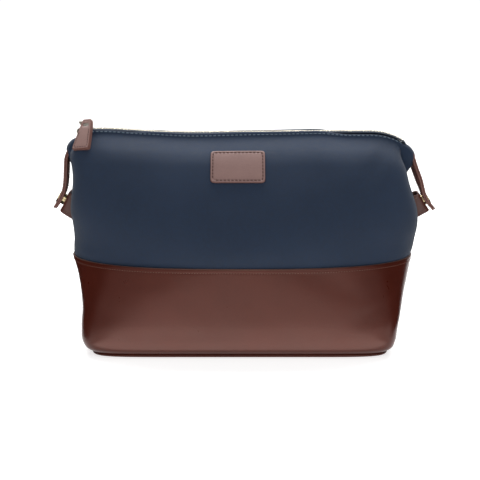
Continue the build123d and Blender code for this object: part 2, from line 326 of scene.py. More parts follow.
def shell(name, grid, thickness, looks, closed=False, normals=None):
    """A sheet that thick behind a grid, with rounded rims; the rims take the last look."""
    rows, columns = grid.shape[:2]
    normals = grid_normals(grid, closed) if normals is None else normals
    inner = grid - thickness * normals
    middle = (grid + inner) / 2
    top_rim = middle[-1] + unit(grid[-1] - grid[-2]) * thickness * 0.4
    foot_rim = middle[0] + unit(grid[0] - grid[1]) * thickness * 0.4
    loops = np.concatenate([grid, top_rim[None], inner[::-1], foot_rim[None]])
    size = len(loops)
    faces, marks = [], []
    for c in range(columns if closed else columns - 1):
        for r in range(size):
            s, d = (r + 1) % size, (c + 1) % columns
            faces.append((r * columns + c, r * columns + d, s * columns + d, s * columns + c))
            marks.append(len(looks) - 1 if r in (rows - 1, rows, size - 2, size - 1) else 0)
    smooth_faces = len(faces)
    if not closed:
        for c in (0, columns - 1):
            for r in range(rows - 1):
                a, b = r * columns + c, (r + 1) * columns + c
                e, f = (size - 2 - r) * columns + c, (size - 3 - r) * columns + c
                faces.append((a, b, f, e))
            faces.append(((rows - 1) * columns + c, rows * columns + c, (rows + 1) * columns + c))
            faces.append((c, (size - 1) * columns + c, (size - 2) * columns + c))
            marks += [0] * (rows + 1)
    steps_u = np.linalg.norm(np.diff(grid, axis=1), axis=-1).mean(axis=0)
    u = np.concatenate([[0], np.cumsum(steps_u)])
    steps_v = np.linalg.norm(np.diff(grid, axis=0), axis=-1).mean(axis=1)
    v = np.concatenate([[0], np.cumsum(steps_v)])
    v = np.concatenate([v, [v[-1]], v[::-1], [0]])
    uv = np.stack(np.broadcast_arrays(u[None, :], v[:, None]), axis=-1).reshape(-1, 2)
    return make_object(name, loops.reshape(-1, 3), faces, looks, marks, uv, smooth_faces)


def loft_faces(count, size, ring=False):
    """The faces round that many loops of that many points; ring joins the last to the first."""
    faces = []
    for a in range(count if ring else count - 1):
        b = (a + 1) % count
        for i in range(size):
            j = (i + 1) % size
            faces.append((a * size + i, a * size + j, b * size + j, b * size + i))
    if not ring:
        faces.append(tuple(range(size)))
        faces.append(tuple(range((count - 1) * size, count * size)))
    return faces


def loft(name, loops, looks, ring=False, uv=None):
    """A closed solid through loops of points, with flat ends, or a ring without ends."""
    loops = np.asarray(loops, float)
    faces = loft_faces(*loops.shape[:2], ring)
    smooth_faces = len(faces) if ring else len(faces) - 2
    return make_object(name, loops.reshape(-1, 3), faces, looks, None, uv, smooth_faces)


def join_copies(name, template, places, looks, smooth_faces=None):
    """One mesh of many copies of a lofted template; places are 4x4 matrices."""
    loops = np.asarray(template, float)
    faces = loft_faces(*loops.shape[:2])
    flat = loops.reshape(-1, 3)
    points, every = [], []
    for place in places:
        every += [[i + len(points) * len(flat) for i in face] for face in faces]
        points.append(flat @ place[:3, :3].T + place[:3, 3])
    return make_object(name, np.concatenate(points), every, looks, smooth_faces=smooth_faces)


def frames(places, tangents, normals):
    """4x4 matrices with X along the tangent and Z near the normal."""
    across = unit(np.cross(normals, tangents))
    made = np.tile(np.eye(4), (len(places), 1, 1))
    made[:, :3] = np.stack([tangents, across, unit(np.cross(tangents, across)), places], axis=-1)
    return made


def stitch_shape(length, radius):
    """One stitch along X: it rises out of its hole, arches and goes back down."""
    loops = []
    for t in (-1, -0.93, -0.75, -0.35, 0, 0.35, 0.75, 0.93, 1):
        thick = radius * max(math.sqrt(max(1 - t**6, 0)), 0.25)
        height = radius * 1.1 * (1 - 1.6 * t * t * t * t)
        turn = [2 * math.pi * k / 6 for k in range(6)]
        loops.append([(t * length / 2, thick * math.cos(a), height + thick * math.sin(a)) for a in turn])
    return loops


def sew(name, places, tangents, facing, size, thread):
    """A line of stitches of (pitch, length, radius); facing is one direction, or one for each."""
    facing = np.broadcast_to(facing, places.shape)
    return join_copies(name, stitch_shape(*size[1:]), frames(places, tangents, facing), [thread])


# ---- materials


def feed(tree, node, inputs):
    """The node's inputs, each set to a value or linked to a socket."""
    for key, value in inputs.items():
        if isinstance(value, bpy.types.NodeSocket):
            tree.links.new(value, node.inputs[key])
        else:
            node.inputs[key].default_value = value


def add(tree, kind, inputs=None, **settings):
    """A node with its settings and inputs."""
    node = tree.nodes.new(kind)
    for key, value in settings.items():
        setattr(node, key, value)
    feed(tree, node, inputs or {})
    return node


def math_node(tree, operation, a, b=0.0):
    """One operation in a node; a and b are numbers or sockets."""
    return add(tree, "ShaderNodeMath", {0: a, 1: b}, operation=operation).outputs[0]


def times(tree, a, b):
    """Their product, in a node."""
    return math_node(tree, "MULTIPLY", a, b)


def plus(tree, a, b):
    """Their sum, in a node."""
    return math_node(tree, "ADD", a, b)


def blend_colour(tree, factor, a, b):
    """A mix of two colours, each an RGB tuple or a socket."""
    colours = {6: a, 7: b}
    inputs = {k: c if isinstance(c, bpy.types.NodeSocket) else (*c, 1) for k, c in colours.items()}
    node = add(tree, "ShaderNodeMix", {0: factor, **inputs}, data_type="RGBA")
    return node.outputs[2]


def remap(tree, value, low, high, to_low, to_high):
    """The value moved from one range to another, and held within it."""
    inputs = {"Value": value, "From Min": low, "From Max": high, "To Min": to_low, "To Max": to_high}
    return add(tree, "ShaderNodeMapRange", inputs).outputs["Result"]


def noise(tree, vector, scale, detail=2.0, roughness=0.5):
    """Smooth noise, between 0 and 1."""
    inputs = {"Vector": vector, "Scale": scale, "Detail": detail, "Roughness": roughness}
    return add(tree, "ShaderNodeTexNoise", inputs).outputs["Fac"]


def blank(name):
    """A material with an empty node tree, its object coordinates and its surface shader."""
    material = bpy.data.materials.new(name)
    material.use_nodes = True
    tree = material.node_tree
    tree.nodes.clear()
    shader = add(tree, "ShaderNodeBsdfPrincipled")
    add(tree, "ShaderNodeOutputMaterial", {"Surface": shader.outputs[0]})
    coords = add(tree, "ShaderNodeTexCoord")
    return material, tree, shader, coords


def bump(tree, shader, height, strength, distance):
    """A bump on the surface; the distance is in metres."""
    node = add(tree, "ShaderNodeBump", {"Height": height, "Strength": strength, "Distance": distance})
    feed(tree, shader, {"Normal": node.outputs[0]})


def leather(name, light, dark, rough=(0.3, 0.42), grain=0.25, specular=0.5, tint=(1, 1, 1)):
    """Leather with tone that wanders from dark to light, fine pores and creases."""
    material, tree, shader, coords = blank(name)
    place = coords.outputs["Object"]
    tone = remap(tree, noise(tree, place, 22, 4, 0.55), 0.3, 0.7, 0, 1)
    colour = blend_colour(tree, tone, dark, light)
    fleck = remap(tree, noise(tree, place, 820, 3, 0.6), 0.35, 0.65, 0, 0.16)
    colour = blend_colour(tree, fleck, colour, tuple(c * 0.6 for c in dark))
    scuff = remap(tree, noise(tree, place, 60, 5, 0.65), 0.3, 0.75, *rough)
    feed(tree, shader, {"Base Color": colour, "Roughness": scuff})
    feed(tree, shader, {"Specular IOR Level": specular, "Specular Tint": (*tint, 1)})
    grid = {"Vector": place, "Scale": 900, "Randomness": 0.9}
    pores = add(tree, "ShaderNodeTexVoronoi", grid, feature="DISTANCE_TO_EDGE")
    cells = remap(tree, pores.outputs["Distance"], 0.0, 0.18, 0, 1)
    creases = noise(tree, place, 220, 5, 0.7)
    bump(tree, shader, plus(tree, times(tree, cells, 0.5), creases), grain, 0.00012)
    return material


def cloth(name, light, dark, thread=0.62):
    """A plain weave of threads that wide (mm), drawn along the cloth by its UV map."""
    material, tree, shader, coords = blank(name)
    place = coords.outputs["Object"]
    flat = add(tree, "ShaderNodeSeparateXYZ", {0: coords.outputs["UV"]})
    turns = math.pi / (thread * MM)
    warp, weft = (math_node(tree, "SINE", times(tree, flat.outputs[k], turns)) for k in (0, 1))
    over = times(tree, warp, weft)
    threads = times(tree, over, over)
    cross = remap(tree, over, -1, 1, 0, 1)
    height = plus(tree, threads, times(tree, cross, 0.4))
    slub = noise(tree, place, 420, 3, 0.6)
    height = plus(tree, height, times(tree, slub, 0.5))
    drift = remap(tree, noise(tree, place, 14, 4, 0.55), 0.32, 0.68, 0, 1)
    colour = blend_colour(tree, drift, dark, light)
    fuzz = times(tree, remap(tree, slub, 0.35, 0.7, 0, 1), 0.25)
    colour = blend_colour(tree, fuzz, colour, tuple(c * 1.8 for c in light))
    # Painted shade in the gaps of the weave: the colour darkens towards half the dark tone where the
    # threads dip.
    shade = times(tree, remap(tree, threads, 0, 0.5, 1, 0), 0.35)
    colour = blend_colour(tree, shade, colour, tuple(c * 0.5 for c in dark))
    feed(tree, shader, {"Base Color": colour, "Roughness": remap(tree, slub, 0.3, 0.7, 0.72, 0.92)})
    feed(tree, shader, {"Specular IOR Level": 0.25, "Sheen Weight": 0.12, "Sheen Roughness": 0.45})
    bump(tree, shader, height, 0.5, 0.00012)
    return material


def metal(name, bright, dull, rough=(0.22, 0.42)):
    """Metal with tarnish in patches and fine scratches."""
    material, tree, shader, coords = blank(name)
    place = coords.outputs["Object"]
    tarnish = remap(tree, noise(tree, place, 300.0, 4, 0.6), 0.4, 0.68, 0, 1)
    colour = blend_colour(tree, tarnish, bright, dull)
    worn = remap(tree, tarnish, 0, 1, *rough)
    feed(tree, shader, {"Base Color": colour, "Metallic": 1.0, "Roughness": worn})
    stretched = add(tree, "ShaderNodeMapping", {"Vector": place, "Scale": (400, 2600, 2600)})
    bump(tree, shader, noise(tree, stretched.outputs[0], 1.0, 3, 0.6), 0.12, 0.00005)
    return material


def yarn(name, colour, shade):
    """Sewing thread, twisted, with painted shade in the grooves of its twist."""
    material, tree, shader, coords = blank(name)
    place = coords.outputs["Object"]
    strands = {"Vector": place, "Scale": 900.0, "Distortion": 1.5}
    twist = add(tree, "ShaderNodeTexWave", strands, bands_direction="DIAGONAL")
    # The twist's dark bands are painted shade: the shade colour stands for the grooves between strands.
    colours = blend_colour(tree, twist.outputs["Fac"], shade, colour)
    fray = remap(tree, noise(tree, place, 800, 2), 0.3, 0.7, 0.6, 0.85)
    feed(tree, shader, {"Base Color": colours, "Roughness": fray})
    bump(tree, shader, twist.outputs["Fac"], 0.5, 0.00008)
    return material


def board(name):
    """Grey-brown fibre board."""
    material, tree, shader, coords = blank(name)
    fibre = noise(tree, coords.outputs["Object"], 500, 5, 0.7)
    colour = blend_colour(tree, fibre, (0.2, 0.15, 0.1), (0.36, 0.3, 0.22))
    feed(tree, shader, {"Base Color": colour, "Roughness": 0.9})
    bump(tree, shader, fibre, 0.4, 0.0002)
    return material


LOOKS = {
    "base": leather(
        "base_leather_look", (0.078, 0.0125, 0.0066), (0.06, 0.009, 0.0046),
        rough=(0.27, 0.36), specular=0.52, tint=(1, 0.68, 0.6),
    ),
    # The wall's rims: partly the cut edge's own paler colour, partly a painted highlight along the
    # rolled top edge.
    "base_edge_and_highlight": leather("base_edge_look", (0.2, 0.1, 0.075), (0.13, 0.06, 0.042), rough=(0.4, 0.6)),
    "strap": leather("strap_leather_look", (0.12, 0.04, 0.029), (0.08, 0.022, 0.014)),
    # The straps' inner layer: a rougher back, its colour painted lighter to make up for the shade it
    # lies in against the bag.
    "strap_back_painted_light": leather(
        "strap_back_look", (0.32, 0.1, 0.075), (0.24, 0.07, 0.05), rough=(0.75, 0.9), specular=0.15
    ),
    # The strap and side-loop edges: partly the cut edge's own paler colour, partly a painted highlight
    # on the edge bands.
    "strap_edge_and_highlight": leather(
        "strap_edge_look", (0.26, 0.12, 0.098), (0.19, 0.082, 0.066), rough=(0.45, 0.65)
    ),
    # The puller is the bag's leather painted paler and greyer: a painted sheen from the light above.
    "puller": leather(
        "puller_painted_sheen_look", (0.38, 0.235, 0.21), (0.31, 0.185, 0.165), rough=(0.42, 0.6), grain=0.35
    ),
    "puller_edge": leather(
        "puller_edge_look", (0.26, 0.12, 0.09), (0.12, 0.042, 0.032), rough=(0.4, 0.55)
    ),
    # The patch too is the bag's leather painted paler and greyer: a painted sheen from the light above.
    "patch": leather(
        "patch_painted_sheen_look", (0.27, 0.155, 0.138), (0.215, 0.122, 0.108), rough=(0.45, 0.62), grain=0.3
    ),
    "patch_edge": leather("patch_edge_look", (0.2, 0.1, 0.085), (0.13, 0.05, 0.04), rough=(0.5, 0.65)),
    "fabric": cloth("shell_fabric_look", (0.0215, 0.037, 0.072), (0.0155, 0.0275, 0.054)),
    "lining": cloth("lining_look", (0.19, 0.17, 0.15), (0.14, 0.125, 0.11), thread=0.4),
    "tape": cloth("zip_tape_look", (0.02, 0.032, 0.055), (0.014, 0.022, 0.038), thread=0.4),
    "teeth": metal("zip_teeth_look", (0.62, 0.58, 0.47), (0.32, 0.29, 0.22)),
    "plate": metal("window_plate_look", (0.93, 0.89, 0.82), (0.75, 0.7, 0.63), rough=(0.6, 0.75)),
    "slider": metal("slider_look", (0.36, 0.33, 0.29), (0.15, 0.135, 0.115), rough=(0.28, 0.5)),
    "brass": metal("snap_brass_look", (0.66, 0.54, 0.32), (0.38, 0.29, 0.15), rough=(0.2, 0.38)),
    "board": board("board_look"),
    # Each thread's second colour is its painted shade in the twist's grooves.
    "thread_top": yarn("top_thread_look", (0.2, 0.27, 0.34), (0.1, 0.14, 0.19)),
    "thread_base": yarn("base_thread_look", (0.28, 0.14, 0.1), (0.15, 0.06, 0.042)),
    "thread_dark": yarn("dark_thread_look", (0.075, 0.014, 0.01), (0.035, 0.008, 0.006)),
}


# ---- placing


def put(piece, body, slot, *nodes):
    """The piece rides on that body and stands for those CAD nodes; the slot is not used."""
    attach(piece, body)
    if nodes:
        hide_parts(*nodes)


def bend(piece, end, slot, *nodes):
    """The piece is baked into the place where it is, and stands for those CAD nodes; end and slot are
    not used.
    """
    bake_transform(piece)
    if nodes:
        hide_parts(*nodes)


# ---- the leather base


def base_wall():
    """The leather wall with its rolled top edge, and its line of stitches."""
    heights = [2.0, 2.8, 3.8, 5.0, 6.5, 8.2, 10.0, 12.0, 14.5, 17.0, 20.0]
    heights += list(np.linspace(23, 64, 16))
    heights += [65.4, 66.2, 66.7, 67.0, 67.3, 67.6, 68.1, 68.8, 69.4, SEAM_Z]
    rows = [(z, 0, 0) for z in heights]
    grid = skin(BASE, rows, ALL_ROUND, base_relief)
    wall = shell("base_leather_wall", grid, LEATHER, ["base", "base_edge_and_highlight"], closed=True)
    put(wall, "bag", "base_leather", "base_wrap")
    line = skin(BASE, [(SEAM_Z - SEAM_STITCH, 0, 0)], ALL_ROUND, base_relief)[0]
    places, tangents = walk(np.concatenate([line, line[:1]]), STITCH_BASE[0])
    facing = outward_at(places, tangents)
    stitches = sew("base_stitches", places, tangents, facing, STITCH_BASE, "thread_base")
    put(stitches, "bag", "base_leather")


def outward_at(places, tangents):
    """Level directions square to a line that runs round the bag, pointing away from its middle."""
    flat = np.stack([tangents[:, 1], -tangents[:, 0], 0 * tangents[:, 0]], axis=1)
    away = np.sign((flat * places).sum(axis=1, keepdims=True))
    return unit(flat * away)


def base_bottom():
    """The welt in the bottom seam, the underside, the board above it and the lining."""
    foot = skin(BASE, [(2.0, 0, 0)], ALL_ROUND, base_relief)[0]

    def ring(inset, z):
        squeeze = 1 - inset / np.array([122.0, 58.6])
        return np.concatenate([foot[:, :2] * squeeze, np.full((len(foot), 1), z)], axis=1)

    profile = [(3.4, 0.15), (0.6, 0.1), (-0.7, 0.5), (-1.1, 1.3), (-0.7, 2.1), (0.4, 2.4), (3.4, 2.3)]
    welt = loft("base_welt_strip", [ring(i, z) for i, z in profile], ["base"], ring=True)
    put(welt, "bag", "base_leather", "base_welt")
    sheet = [(4.2, 0.0), (3.5, 0.35), (3.5, 2.1), (4.2, 2.35)]
    panel = loft("base_underside", [ring(i, z) for i, z in sheet], ["base"])
    put(panel, "bag", "base_leather", "base_panel")
    sheet = [(4.4, 2.5), (3.8, 2.8), (3.8, 4.1), (4.4, 4.4)]
    panel = loft("base_stiffener", [ring(i, z) for i, z in sheet], ["board"])
    put(panel, "bag", "board", "base_board")
    rows = [(4.8, LEATHER + i, 0) for i in (52, 44, 36, 28, 20, 14, 9, 5.5, 3, 1.6)]
    rows += [(z, LEATHER + 0.8, 0) for z in (6, 8, 12, 18, 26, 34, 42, 50, 58, 64, 69)]
    grid = skin(BASE, rows, ALL_ROUND, lambda x, y, z: 0 * x)
    lining = shell("base_lining_cloth", grid, LINING, ["lining"], closed=True)
    put(lining, "bag", "lining", "base_lining")


# ---- the fabric top


def fabric_top():
    """The front and the two halves of the back, each with its lining and topstitching."""
    lining_rows = [(z, FABRIC + 0.5, 0) for z in np.linspace(66, 164, 36)]
    line_rows = [(RIDGE_Z - HEM_STITCH, 0, 0)]
    for end, columns in {None: FRONT_SIDE, **BACK_SIDE}.items():
        name = f"back_{end}" if end else "front"
        outside = skin(TOP, TOP_ROWS, columns, top_relief)
        outer = shell(f"{name}_fabric", outside, FABRIC, ["fabric"])
        inside = skin(TOP, lining_rows, columns, top_relief)
        inner = shell(f"{name}_lining_cloth", inside, LINING, ["lining"])
        line = skin(TOP, line_rows, columns, top_relief)[0]
        places, tangents = walk(line, STITCH_TOP[0])
        shown = abs(places[:, 0]) < 127
        places, tangents = places[shown], tangents[shown]
        facing = unit(outward_at(places, tangents) + np.array([0, 0, 0.6]))
        stitches = sew(f"{name}_topstitch", places, tangents, facing, STITCH_TOP, "thread_top")
        if end is None:
            put(outer, "bag", "shell_fabric", "front_panel")
            put(inner, "bag", "lining", "front_lining")
            put(stitches, "bag", "shell_fabric")
        else:
            bend(outer, end, "shell_fabric", "back_panel", f"back_panel_{end}")
            bend(inner, end, "lining", "back_lining", f"back_lining_{end}")
            bend(stitches, end, "shell_fabric")


EAR_ROOT = 117.0  # where the ears start, inside the fabric
EAR = {  # (height, reach of the lobe, half width)
    "right": (
        (133.5, 130.0, 4.0), (137.0, 132.2, 6.4), (143.4, 135.2, 8.4), (149.2, 135.6, 9.2),
        (152.5, 134.3, 9.2), (155.8, 131.4, 8.8), (158.0, 127.4, 7.6), (159.6, 122.6, 5.4),
    ),
    "left": (
        (141.4, 133.8, 4.5), (143.0, 135.3, 6.6), (146.0, 136.4, 8.2), (150.0, 137.3, 9.2),
        (153.6, 137.8, 9.4), (158.0, 136.1, 9.0), (161.5, 132.0, 7.8), (163.6, 126.6, 5.4),
    ),
}


def ear(end):
    """The folded ear at one end: a rounded lobe that hangs from the ridge's end."""
    sign = ENDS[end]
    table = EAR[end]
    loops = []
    for z in np.linspace(table[0][0], table[-1][0], 40):
        reach = float(smooth(table, z, 1))
        half = float(smooth(table, z, 2))
        turn = np.linspace(0, 2 * math.pi, 48, endpoint=False)
        across, out = np.sin(turn), np.cos(turn)
        x = EAR_ROOT + (reach - EAR_ROOT) * (0.5 + 0.5 * np.sign(out) * abs(out) ** 0.75)
        y = half * np.sign(across) * abs(across) ** 0.8
        crumple = 0.5 * waves(x, y, z + 0 * x, 16, 31 + sign)
        x = x + crumple * np.maximum(out, 0)
        loops.append(np.stack([sign * x, y + 0.4 * crumple, z + 0 * x], axis=1))
    lobe = loft(f"ear_{end}", loops, ["fabric"], uv=lobe_uv(loops))
    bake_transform(lobe)
    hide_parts(f"wing_{end}")


def lobe_uv(loops):
    """Cloth coordinates for a lofted lobe: round it, and along it."""
    return np.concatenate([np.stack([along(loop), loop[:, 2]], axis=1) for loop in loops])


# ---- the zip


def tooth_shape(side_sign):
    """One tooth, along Y from its root on the tape to its head past the middle."""
    sections = ((3.5, 0.46, 0.8), (3.0, 0.54, 1.0), (1.6, 0.46, 0.95), (0.9, 0.42, 0.86))
    sections += ((0.5, 0.58, 0.88), (0.0, 0.6, 0.86), (-0.3, 0.5, 0.74), (-0.42, 0.3, 0.5))
    loops = []
    for y, half_x, half_z in sections:
        corner = 0.3 * half_x
        ring = [(half_x, half_z - corner), (half_x - corner, half_z)]
        ring += [(-x, z) for x, z in reversed(ring)]
        ring += [(-x, -z) for x, z in ring]
        loops.append([(x, side_sign * y, z) for x, z in ring])
    return loops


def zip_row(name, side_sign, x_range, phase):
    """The teeth between two values of X on one side of the zip."""
    first = math.ceil((x_range[0] - TEETH[0] - phase) / TOOTH_PITCH)
    last = math.floor((x_range[1] - TEETH[0] - phase) / TOOTH_PITCH)
    places = []
    for k in range(first, last + 1):
        x = TEETH[0] + phase + k * TOOTH_PITCH
        slope = float(zip_drop(x + 0.5) - zip_drop(x - 0.5))
        z = ZIP_Z - float(zip_drop(x))
        place = Matrix.Translation((x, 0, z)) @ Matrix.Rotation(math.atan(slope), 4, "Y")
        places.append(np.array(place))
    return join_copies(name, tooth_shape(side_sign), places, ["teeth"], 0)


def zip_strip(name, side_sign, x_range):
    """One tape, from beside the teeth to under the hem, with its cord along the teeth."""
    x = np.linspace(x_range[0], x_range[1], 130)
    rows = []
    for y, up in ((1.75, 0.5), (2.2, 0.72), (2.9, 0.76), (3.6, 0.55), (4.6, 0.3), (6.2, 0.1)):
        rows.append(np.stack([x, side_sign * y + 0 * x, ZIP_Z - zip_drop(x) + up], axis=1))
    grid = np.array(rows)[::side_sign]
    normals = np.zeros_like(grid)
    normals[..., 2] = 1
    return shell(name, grid, 0.8, ["tape"], normals=normals)


def zip_fastener():
    """Both tapes and rows of teeth, and the stop at the far end."""
    left, right = -128.5, 128.0
    put(zip_strip("front_tape", -1, (left, right)), "bag", "zip_tape", "zip_tape_front")
    put(zip_row("front_teeth", -1, TEETH, 0.0), "bag", "zip_metal", "zip_teeth_front")
    halves = {"left": (left, 0.0), "right": (0.0, right)}
    for end, (low, high) in halves.items():
        tape = zip_strip(f"back_tape_{end}", 1, (low, high))
        bend(tape, end, "zip_tape", "zip_tape_back", f"zip_tape_back_{end}")
        toothed = (max(low, TEETH[0]), min(high, TEETH[1]))
        teeth = zip_row(f"back_teeth_{end}", 1, toothed, TOOTH_PITCH / 2)
        bend(teeth, end, "zip_metal", "zip_teeth_back", f"zip_teeth_back_{end}")
    x = TEETH[1] + 1.7
    z = ZIP_Z - float(zip_drop(x))
    loops = []
    for up, shrink in ((-1.2, 0.6), (-0.9, 0.0), (0.9, 0.0), (1.3, 0.6)):
        half_x, half_y = 1.1 - shrink / 2, 3.2 - shrink
        loops.append([(x + a * half_x, b * half_y, z + up - 0.7 * a * half_x) for a, b in CORNERS])
    put(loft("zip_end_stop", loops, ["teeth"]), "bag", "zip_metal", "zip_bottom_stop")


# ---- the puller

PULLER_ENDS = (1.2, -24.3)  # along the puller, from the link's bar
PULLER_LONG = 26.0
PULLER_TOP = 3.8  # half widths
PULLER_FOOT = 7.7
PULLER_SKEW = -4.9  # how far its foot stands to one side
PULLER_SHIFT = 1.8
PULLER_LAYER = 1.9
PULLER_LEAN = math.atan(42 / 53)  # the slope of the bag's front under it
PULLER_TURN = math.radians(-23)
PULLER_LEVEL = -0.14  # how far it leans along itself, to hang level
WINDOW = (2.8, 1.7, -3.5)  # half width, half height, middle
WINDOW_X = PULLER_SHIFT + PULLER_SKEW * -WINDOW[2] / PULLER_LONG


def puller_frame():
    """From the puller's own X, depth and outward height to the bag's frame."""
    joint = next(j for j in frame["joints"] if j["name"] == "puller_flip")
    bar = Vector(joint["pos_m"]) / MM
    lean = Matrix.Rotation(-PULLER_LEAN, 4, "X")
    turn = Matrix.Rotation(PULLER_TURN, 4, "Z")
    return np.array(Matrix.Translation(bar) @ lean @ turn)


def puller_loop(inset, height, hole=0.0):
    """Points round the puller at that inset; hole shrinks the loop towards the window."""
    p, q = rounded_square(4, 14).T
    top, foot = PULLER_ENDS
    depth = (top + foot) / 2 + q * ((top - foot) / 2 - inset)
    share = np.clip(-depth / PULLER_LONG, -0.1, 1)
    half = PULLER_TOP + (PULLER_FOOT - PULLER_TOP) * np.maximum(share, 0) ** 0.75 - inset
    x = PULLER_SHIFT + PULLER_SKEW * share + p * half
    depth = depth + PULLER_LEVEL * p * half
    window_x = WINDOW_X + p * WINDOW[0]
    window_z = WINDOW[2] + q * WINDOW[1] + PULLER_LEVEL * p * WINDOW[0]
    x = x + (window_x - x) * hole
    z = depth + (window_z - depth) * hole
    near_bar = rise(z, -5.0, 1.2)
    return np.stack([x, -height - 0.15 * near_bar, z], axis=1)


def puller():
    """The two leather layers with rounded edges, the window in the front one, and the stitches."""
    place = puller_frame()

    def put_in_place(points):
        return np.asarray(points) @ place[:3, :3].T + place[:3, 3]

    t = PULLER_LAYER
    profile = [(0.5, 0.05, 0), (0.12, 0.25, 0), (0, t * 0.5, 0), (0.12, t - 0.3, 0), (0.45, t - 0.05, 0)]
    profile += [(0.9, t, 0), (1.25, t - 0.1, 0), (1.5, t - 0.16, 0), (1.75, t - 0.08, 0), (2.1, t, 0)]
    profile += [(2.1, t, 0.5), (2.1, t, 0.9), (2.1, t - 0.12, 1.0), (2.1, 0.3, 1.0), (2.1, 0.05, 0.9)]
    loops = [put_in_place(puller_loop(*row)) for row in profile]
    edge = len(loops[0]) * 4
    front = loft("puller_front_skin", loops, ["puller", "puller_edge"], ring=True)
    for polygon in front.data.polygons[:edge]:
        polygon.material_index = 1
    put(front, "puller", "puller_leather", "puller_front_leather")
    profile = [(2.1, 0.0), (0.5, -0.05), (0.1, -0.3), (-0.05, -t * 0.5)]
    profile += [(0.1, 0.3 - t), (0.5, -t), (2.1, -t)]
    loops = [put_in_place(puller_loop(*row)) for row in profile]
    back = loft("puller_back_skin", loops, ["puller_edge"])
    put(back, "puller", "puller_leather", "puller_back_leather")
    line = puller_loop(1.5, t - 0.12)
    line = line[line[:, 2] < WINDOW[2] - 3]
    on_right = line[:, 0] > line[:, 0].mean()
    start = np.argmax(np.where(on_right, -99, line[:, 2]))
    line = np.roll(line, -start, axis=0)
    places, tangents = walk(put_in_place(line), STITCH_FINE[0], 0.6)
    facing = place[:3, :3] @ np.array([0, -1, 0])
    stitches = sew("puller_stitches", places, tangents, facing, STITCH_FINE, "thread_dark")
    put(stitches, "puller", "puller_leather")
    core = []
    for inset, height in ((0.5, 0.1), (0.0, 0.3), (0.0, 1.0), (0.4, 1.3)):
        half_x, half_z = WINDOW[0] + 0.1 - inset, WINDOW[1] + 0.1 - inset
        core.append([(WINDOW_X + a * half_x, -height, WINDOW[2] + b * half_z) for a, b in CORNERS])
    plate = loft("puller_window_metal", [put_in_place(loop) for loop in core], ["plate"])
    put(plate, "puller", "slider_metal")


# ---- the label patch

PATCH_HALF = (20.8, 14.3)
PATCH_CENTRE = (-3.2, 144.1)
PATCH_THICK = 1.4


def patch():
    """The blank leather patch, laid on the fabric's front, with its stitches."""
    middle_x, middle_z = PATCH_CENTRE
    slope = math.cos(PULLER_LEAN)
    base_point = on_front(middle_x, middle_z)
    x_way = unit(on_front(middle_x + 15, middle_z) - on_front(middle_x - 15, middle_z))
    up_way = unit(on_front(middle_x, middle_z + 8) - on_front(middle_x, middle_z - 8))
    normal = unit(np.cross(x_way, up_way))

    def on_patch(u, w, height):
        point = on_front(middle_x + u, middle_z + w * slope)
        flat = base_point + x_way * u + up_way * w
        return 0.5 * point + 0.5 * flat + normal * height

    square = rounded_square(3, 16)

    def loop(inset, height):
        half = np.array(PATCH_HALF) - inset
        return np.array([on_patch(u, w, height) for u, w in square * half])

    t = PATCH_THICK
    profile = [(3.0, -0.8), (0.3, -0.5), (0.0, 0.2), (0.05, t - 0.5), (0.3, t - 0.12), (0.7, t)]
    profile += [(1.15, t - 0.05), (1.5, t - 0.22), (1.75, t - 0.28), (2.0, t - 0.22), (2.4, t - 0.06)]
    profile += [(3.2, t), (6.0, t + 0.05), (10.0, t + 0.08), (13.6, t + 0.08)]
    loops = [loop(*row) for row in profile]
    made = loft("label_patch_skin", loops, ["patch", "patch_edge"])
    for polygon in made.data.polygons[: len(square) * 4]:
        polygon.material_index = 1
    put(made, "bag", "patch_leather", "label_patch")
    line = loop(1.75, t - 0.3)
    places, tangents = walk(np.concatenate([line, line[:1]]), STITCH_PATCH[0])
    stitches = sew("patch_stitches", places, tangents, normal, STITCH_PATCH, "thread_dark")
    put(stitches, "bag", "patch_leather")


# ---- straps and side loops

STRAP_PATH = {  # (outward, height) from the top to the free end
    "left": (
        (135.2, 153.2), (137.7, 147.2), (138.2, 139.0), (139.0, 128.0),
        (140.4, 120.6), (143.15, 114.43), (148.3, 106.2),
    ),
    "right": (
        (130.6, 153.0), (133.6, 147.0), (136.3, 138.0), (139.6, 129.2),
        (142.3, 121.3), (145.35, 113.43), (152.4, 104.9),
    ),
}
SNAP_SHIFT = (2.2, 0, -1.0)  # of the right snap from its place in the CAD
SNAP_BODY = {"cap": "strap_right", "socket": "strap_right", "stud": "bag"}
STRAP_HALF = 8.5
STRAP_LAYER = 1.4
STRAP_TWIST = {"left": 0.0, "right": 1.0}  # how far the near edge stands out past the middle
# A layer's section from its edge to its middle, as shares of its half width and half thickness
STRAP_EDGE = ((1, 0.4), (0.97, 0.85), (0.92, 1.0), (0.82, 0.9), (0.72, 1.0), (0, 1.05))
STRAP_SIDES = (0, 9, 10, 11, 20, 21)  # the faces along the two edges, in each turn of the ring


def strap_line(end):
    """Along a strap's middle: points, outward directions, distances to the free end and twists."""
    table = [(i, *knot) for i, knot in enumerate(STRAP_PATH[end])]
    at = np.linspace(0, len(table) - 1, 70)
    line = np.stack([smooth(table, at, 1), smooth(table, at, 2)], axis=1)
    way = unit(np.gradient(line, axis=0))
    out = np.stack([-way[:, 1], way[:, 0]], axis=1)
    rest = along(line[::-1])[::-1]
    return line, out, rest, STRAP_TWIST[end] * rise(rest, 14, 30)


def on_strap(end, spot, out, twist, y, height):
    """The point of a strap at that y, and that far out from its middle."""
    x, z = spot + out * (height - twist * y / STRAP_HALF)
    return (ENDS[end] * x, y, z)


def strap_half(rest):
    """Half the strap's width: narrower at the top, round at the free end."""
    curl = np.sqrt(1 - (1 - np.clip(rest / 5, 0, 1)) ** 2)
    return (STRAP_HALF - 2.6 * rise(rest, 34, 46)) * (0.45 + 0.55 * curl)


